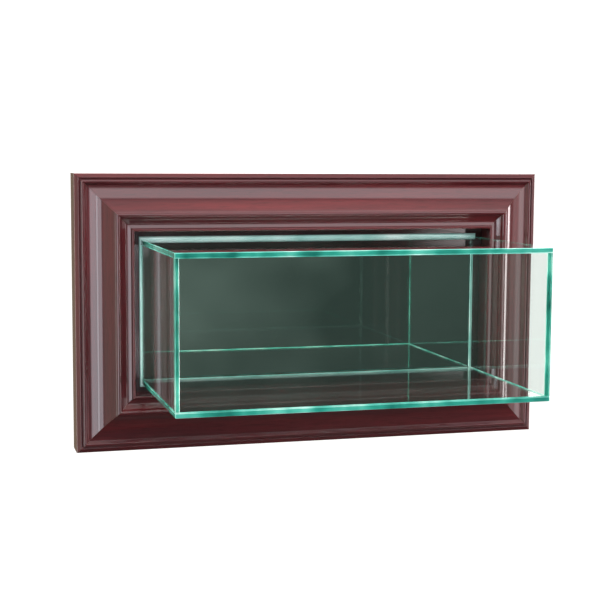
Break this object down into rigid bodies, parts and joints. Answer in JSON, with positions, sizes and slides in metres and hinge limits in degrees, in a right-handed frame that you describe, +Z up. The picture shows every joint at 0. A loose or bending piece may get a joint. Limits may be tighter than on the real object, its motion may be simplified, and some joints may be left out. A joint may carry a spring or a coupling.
{
  "type": "wall-mounted display case",
  "caption": "Clear glass hood standing out from a mirror, framed by a wide mitred cherry moulding, for hanging on a wall; the back board is held by turn buttons.",
  "frame": {"origin": "middle of the frame on the wall's surface, where the rubber bumpers rest and the hanger rings hang", "axes": "+X to the viewer's right, +Z up, -Y out of the wall towards the viewer"},
  "size_m": [0.358, 0.161, 0.203],
  "materials": {
    "cherry_lacquer": "dark cherry stain under high-gloss clear lacquer",
    "stained_strip": "dark cherry stain, satin",
    "float_glass": "clear float glass, polished green edges",
    "mirror": "silvered glass",
    "fibreboard": "bare medium-density fibreboard",
    "zinc_plate": "bright zinc plate",
    "nickel_plate": "nickel plate",
    "bright_steel": "bare spring steel",
    "bumper_rubber": "soft black rubber"
  },
  "bodies": {
    "root": {"top_rail": "cherry_lacquer", "bottom_rail": "cherry_lacquer", "left_stile": "cherry_lacquer", "right_stile": "cherry_lacquer", "glass_top": "float_glass", "glass_bottom": "float_glass", "glass_front": "float_glass", "glass_left": "float_glass", "glass_right": "float_glass", "seat_strip_top": "stained_strip", "seat_strip_bottom": "stained_strip", "seat_strip_left": "stained_strip", "seat_strip_right": "stained_strip", "mirror_panel": "mirror", "back_board": "fibreboard", "turn_button_top_left_screw": "zinc_plate", "turn_button_top_right_screw": "zinc_plate", "turn_button_bottom_left_screw": "zinc_plate", "turn_button_bottom_right_screw": "zinc_plate", "turn_button_left_screw": "zinc_plate", "turn_button_right_screw": "zinc_plate", "hanger_strap_left": "nickel_plate", "hanger_strap_right": "nickel_plate", "hanger_screw_left_upper": "nickel_plate", "hanger_screw_left_lower": "nickel_plate", "hanger_screw_right_upper": "nickel_plate", "hanger_screw_right_lower": "nickel_plate", "v_nail_top_left_outer": "bright_steel", "v_nail_top_left_inner": "bright_steel", "v_nail_top_right_outer": "bright_steel", "v_nail_top_right_inner": "bright_steel", "v_nail_bottom_left_outer": "bright_steel", "v_nail_bottom_left_inner": "bright_steel", "v_nail_bottom_right_outer": "bright_steel", "v_nail_bottom_right_inner": "bright_steel", "wall_bumper_top_left": "bumper_rubber", "wall_bumper_top_right": "bumper_rubber", "wall_bumper_bottom_left": "bumper_rubber", "wall_bumper_bottom_right": "bumper_rubber"},
    "button_top_left": {"turn_button_top_left": "zinc_plate"},
    "button_top_right": {"turn_button_top_right": "zinc_plate"},
    "button_bottom_left": {"turn_button_bottom_left": "zinc_plate"},
    "button_bottom_right": {"turn_button_bottom_right": "zinc_plate"},
    "button_left": {"turn_button_left": "zinc_plate"},
    "button_right": {"turn_button_right": "zinc_plate"},
    "ring_left": {"hanger_ring_left": "nickel_plate"},
    "ring_right": {"hanger_ring_right": "nickel_plate"}
  },
  "joints": [
    {"name": "button_top_left_turn", "type": "hinge", "parent": "root", "child": "button_top_left", "pos_m": [-0.075, -0.01005, 0.076], "axis": [0, 1, 0], "range_deg": [-95, 95]},
    {"name": "button_top_right_turn", "type": "hinge", "parent": "root", "child": "button_top_right", "pos_m": [0.075, -0.01005, 0.076], "axis": [0, 1, 0], "range_deg": [-95, 95]},
    {"name": "button_bottom_left_turn", "type": "hinge", "parent": "root", "child": "button_bottom_left", "pos_m": [-0.075, -0.01005, -0.076], "axis": [0, 1, 0], "range_deg": [-95, 95]},
    {"name": "button_bottom_right_turn", "type": "hinge", "parent": "root", "child": "button_bottom_right", "pos_m": [0.075, -0.01005, -0.076], "axis": [0, 1, 0], "range_deg": [-95, 95]},
    {"name": "button_left_turn", "type": "hinge", "parent": "root", "child": "button_left", "pos_m": [-0.1535, -0.01005, 0], "axis": [0, 1, 0], "range_deg": [-95, 95]},
    {"name": "button_right_turn", "type": "hinge", "parent": "root", "child": "button_right", "pos_m": [0.1535, -0.01005, 0], "axis": [0, 1, 0], "range_deg": [-95, 95]},
    {"name": "ring_left_swing", "type": "hinge", "parent": "root", "child": "ring_left", "pos_m": [-0.169, -0.0025, 0.058], "axis": [-1, 0, 0], "range_deg": [0, 160]},
    {"name": "ring_right_swing", "type": "hinge", "parent": "root", "child": "ring_right", "pos_m": [0.169, -0.0025, 0.058], "axis": [-1, 0, 0], "range_deg": [0, 160]}
  ]
}
